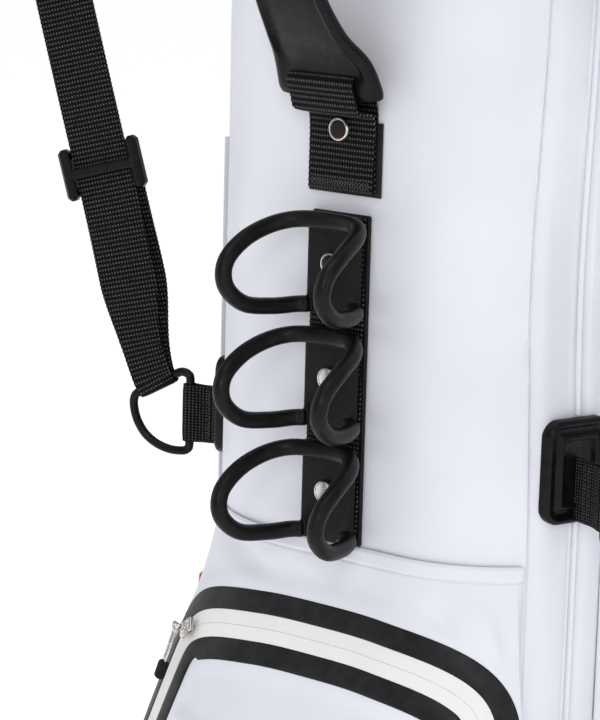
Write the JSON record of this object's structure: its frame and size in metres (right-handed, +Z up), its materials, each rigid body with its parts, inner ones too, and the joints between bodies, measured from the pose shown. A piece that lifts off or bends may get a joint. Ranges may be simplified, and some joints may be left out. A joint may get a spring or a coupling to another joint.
{
  "type": "golf staff bag",
  "caption": "Free-standing golf bag with a moulded carry handle, a stack of ring hooks, two shoulder straps, a divided top and zipped pockets.",
  "frame": {"origin": "on the ground, at the middle of the rectangle that the bag fits in", "axes": "+Z up, -Y out of the spine side with the handle and the hooks, +X to the right of someone who stands in front of the spine and looks at it"},
  "size_m": [0.577, 0.4076, 0.88],
  "materials": {
    "white_skin": "smooth white coated skin with a soft satin sheen",
    "black_plastic": "moulded black plastic, satin, fine grain",
    "black_rubber": "matt black rubber",
    "black_lining": "soft black brushed lining",
    "zip_tape": "white coated zip tape with a fine grain",
    "black_trim": "black welded trim band, satin",
    "nickel": "polished nickel",
    "dark_bronze": "dark polished bronze",
    "black_webbing": "ribbed black polyester webbing",
    "black_pad": "black mesh over foam with bound edges",
    "orange_webbing": "bright orange webbing"
  },
  "bodies": {
    "bag": {"back_pocket": "white_skin", "back_zip": "zip_tape", "base_cup": "black_plastic", "base_foot_1": "black_rubber", "base_foot_2": "black_rubber", "base_foot_3": "black_rubber", "base_foot_4": "black_rubber", "body_shell": "white_skin", "divider_grid": "black_lining", "divider_sleeve": "black_lining", "front_pocket": "white_skin", "front_trim_lower": "black_trim", "front_trim_upper": "black_trim", "front_zip_tape": "zip_tape", "handle": "black_plastic", "handle_rivet": "dark_bronze", "handle_tab": "black_webbing", "hook_backing": "black_plastic", "hook_rivet_1": "dark_bronze", "hook_rivet_2": "nickel", "hook_rivet_3": "nickel", "hook_webbing": "black_webbing", "ring_hook_lower": "black_plastic", "ring_hook_middle": "black_plastic", "ring_hook_upper": "black_plastic", "side_loop": "black_webbing", "side_loop_tab": "orange_webbing", "side_pocket_left": "white_skin", "side_pocket_right": "white_skin", "side_zip_left": "zip_tape", "side_zip_right": "zip_tape", "strap_bracket_left": "black_plastic", "strap_bracket_right": "black_plastic", "strap_pin_left": "nickel", "strap_pin_right": "nickel", "strap_plate_left": "black_plastic", "strap_plate_right": "black_plastic", "strap_tab_left": "black_webbing", "strap_tab_right": "black_webbing", "top_collar": "black_plastic"},
    "strap_left": {"strap_ring_left": "black_plastic", "strap_webbing_left": "black_webbing", "shoulder_pad_left": "black_pad", "strap_swivel_left": "black_plastic"},
    "strap_right": {"strap_ring_right": "black_plastic", "strap_webbing_right": "black_webbing", "shoulder_pad_right": "black_pad", "strap_swivel_right": "black_plastic"},
    "adjuster_left": {"strap_adjuster_left": "black_plastic"},
    "adjuster_right": {"strap_adjuster_right": "black_plastic"},
    "side_slider_left": {"side_zip_left_slider": "nickel"},
    "side_slider_right": {"side_zip_right_slider": "nickel"},
    "side_pull_left": {"side_zip_left_pull": "nickel"},
    "side_pull_right": {"side_zip_right_pull": "nickel"},
    "front_slider": {"front_zip_slider": "nickel"},
    "front_pull": {"front_zip_pull": "nickel"},
    "back_slider": {"back_zip_slider": "nickel"},
    "back_pull": {"back_zip_pull": "nickel"}
  },
  "joints": [
    {"name": "strap_left_swing", "type": "hinge", "parent": "bag", "child": "strap_left", "pos_m": [-0.15403, -0.07658, 0.815], "axis": [0, 0, 1], "range_deg": [-20, 20]},
    {"name": "strap_right_swing", "type": "hinge", "parent": "bag", "child": "strap_right", "pos_m": [0.15403, -0.07658, 0.815], "axis": [0, 0, 1], "range_deg": [-20, 20]},
    {"name": "adjuster_left_slide", "type": "slide", "parent": "strap_left", "child": "adjuster_left", "axis": [0.2484, 0.0834, -0.9651], "range_m": [-0.03, 0.012]},
    {"name": "adjuster_right_slide", "type": "slide", "parent": "strap_right", "child": "adjuster_right", "axis": [-0.2484, 0.0834, -0.9651], "range_m": [-0.03, 0.012]},
    {"name": "side_left_zip_slide", "type": "slide", "parent": "bag", "child": "side_slider_left", "axis": [0, 0, -1], "range_m": [0, 0.46]},
    {"name": "side_right_zip_slide", "type": "slide", "parent": "bag", "child": "side_slider_right", "axis": [0, 0, -1], "range_m": [0, 0.46]},
    {"name": "side_left_pull_swing", "type": "hinge", "parent": "side_slider_left", "child": "side_pull_left", "pos_m": [-0.1854, 0, 0.62], "axis": [0, 1, 0], "range_deg": [0, 100]},
    {"name": "side_right_pull_swing", "type": "hinge", "parent": "side_slider_right", "child": "side_pull_right", "pos_m": [0.1854, 0, 0.62], "axis": [0, -1, 0], "range_deg": [0, 100]},
    {"name": "front_zip_slide", "type": "slide", "parent": "bag", "child": "front_slider", "axis": [-0.7628, 0.232, -0.6036], "range_m": [-0.008, 0.008]},
    {"name": "front_pull_swing", "type": "hinge", "parent": "front_slider", "child": "front_pull", "pos_m": [-0.10755, -0.14037, 0.36192], "axis": [-0.8506, 0.5259, 0], "range_deg": [0, 90]},
    {"name": "back_zip_slide", "type": "slide", "parent": "bag", "child": "back_slider", "axis": [0, 0, -1], "range_m": [0, 0.38]},
    {"name": "back_pull_swing", "type": "hinge", "parent": "back_slider", "child": "back_pull", "pos_m": [0, 0.2024, 0.54], "axis": [1, 0, 0], "range_deg": [0, 100]}
  ]
}
